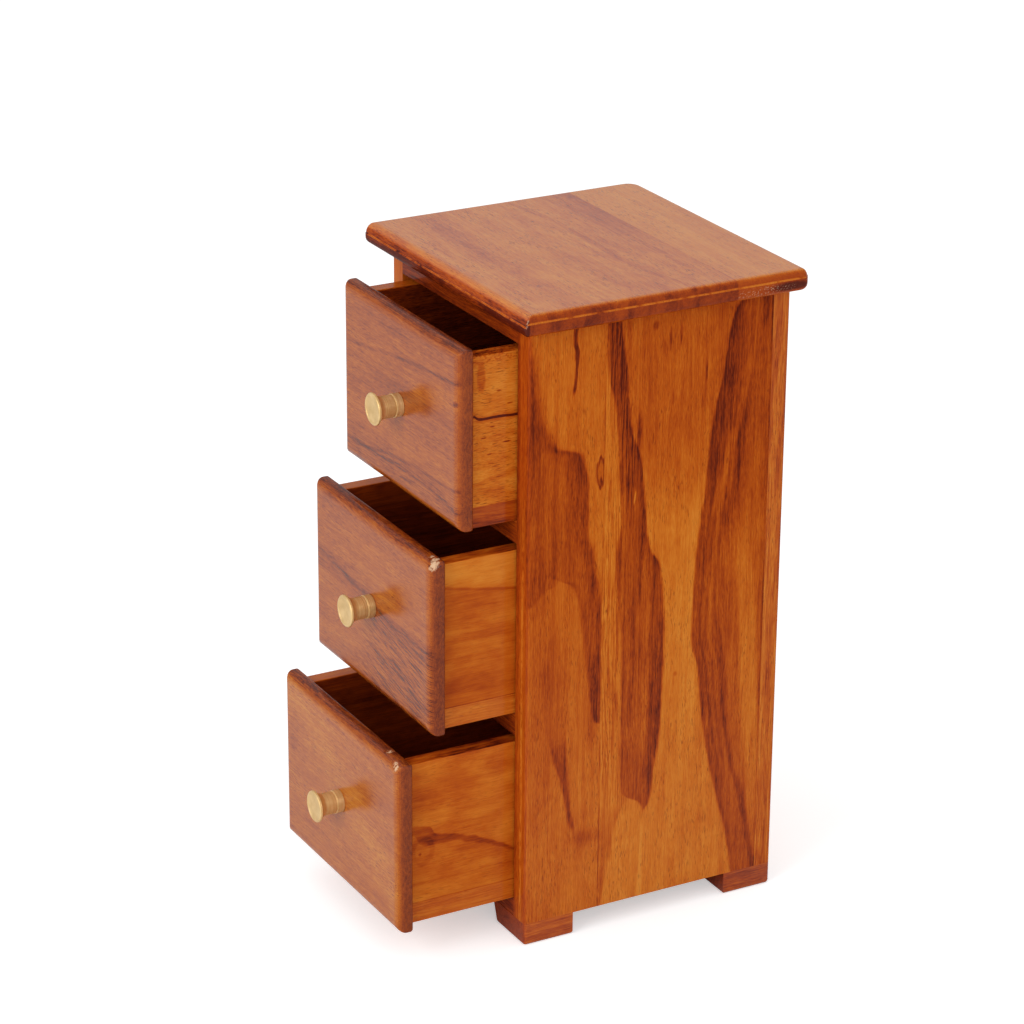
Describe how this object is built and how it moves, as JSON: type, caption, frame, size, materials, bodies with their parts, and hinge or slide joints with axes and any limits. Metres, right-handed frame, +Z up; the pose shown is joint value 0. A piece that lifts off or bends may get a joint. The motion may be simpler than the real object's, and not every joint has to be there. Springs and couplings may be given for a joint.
{
  "type": "drawer organizer",
  "caption": "Small lacquered wooden chest with a moulded top, block feet and stacked pull-out drawers with turned brass knobs, for paints and small craft parts.",
  "frame": {"origin": "on the floor, under the middle of the carcass's footprint (sides and back board, not the top or the open drawers)", "axes": "+Z up, the drawers open towards -Y, +X to the right seen from the front"},
  "size_m": [0.1388, 0.1897, 0.279],
  "materials": {
    "top_wood": "lacquered, satin-gloss",
    "side_wood": "lacquered, satin-gloss",
    "drawer_front_wood": "lacquered, satin-gloss",
    "drawer_box_wood": "lacquered, satin",
    "inner_wood": "lacquered, satin",
    "foot_wood": "lacquered, satin",
    "brass_knobs": "turned, satin",
    "steel_screws": "zinc plated"
  },
  "bodies": {
    "carcass": {"back_board": "side_wood", "bottom_board": "inner_wood", "crown_board": "inner_wood", "front_left_foot": "foot_wood", "front_right_foot": "foot_wood", "left_side_front_board": "side_wood", "left_side_rear_board": "side_wood", "lower_shelf": "inner_wood", "rear_left_foot": "foot_wood", "rear_right_foot": "foot_wood", "right_side_front_board": "side_wood", "right_side_rear_board": "side_wood", "top_front_board": "top_wood", "top_rear_board": "top_wood", "top_screws": "steel_screws", "upper_shelf": "inner_wood"},
    "top_drawer": {"top_drawer_back_wall": "drawer_box_wood", "top_drawer_bottom_board": "drawer_box_wood", "top_drawer_front": "drawer_front_wood", "top_drawer_knob": "brass_knobs", "top_drawer_knob_screw": "steel_screws", "top_drawer_left_wall": "drawer_box_wood", "top_drawer_right_wall_lower_strip": "drawer_box_wood", "top_drawer_right_wall_upper_strip": "drawer_box_wood"},
    "middle_drawer": {"middle_drawer_back_wall": "drawer_box_wood", "middle_drawer_bottom_board": "drawer_box_wood", "middle_drawer_front": "drawer_front_wood", "middle_drawer_knob": "brass_knobs", "middle_drawer_knob_screw": "steel_screws", "middle_drawer_left_wall": "drawer_box_wood", "middle_drawer_right_wall": "drawer_box_wood"},
    "bottom_drawer": {"bottom_drawer_back_wall": "drawer_box_wood", "bottom_drawer_bottom_board": "drawer_box_wood", "bottom_drawer_front": "drawer_front_wood", "bottom_drawer_knob": "brass_knobs", "bottom_drawer_knob_screw": "steel_screws", "bottom_drawer_left_wall": "drawer_box_wood", "bottom_drawer_right_wall": "drawer_box_wood"}
  },
  "joints": [
    {"name": "top_drawer_slide", "type": "slide", "parent": "carcass", "child": "top_drawer", "axis": [0, -1, 0], "range_m": [-0.0198, 0.074]},
    {"name": "middle_drawer_slide", "type": "slide", "parent": "carcass", "child": "middle_drawer", "axis": [0, -1, 0], "range_m": [-0.0331, 0.0607]},
    {"name": "bottom_drawer_slide", "type": "slide", "parent": "carcass", "child": "bottom_drawer", "axis": [0, -1, 0], "range_m": [-0.0482, 0.0456]}
  ]
}
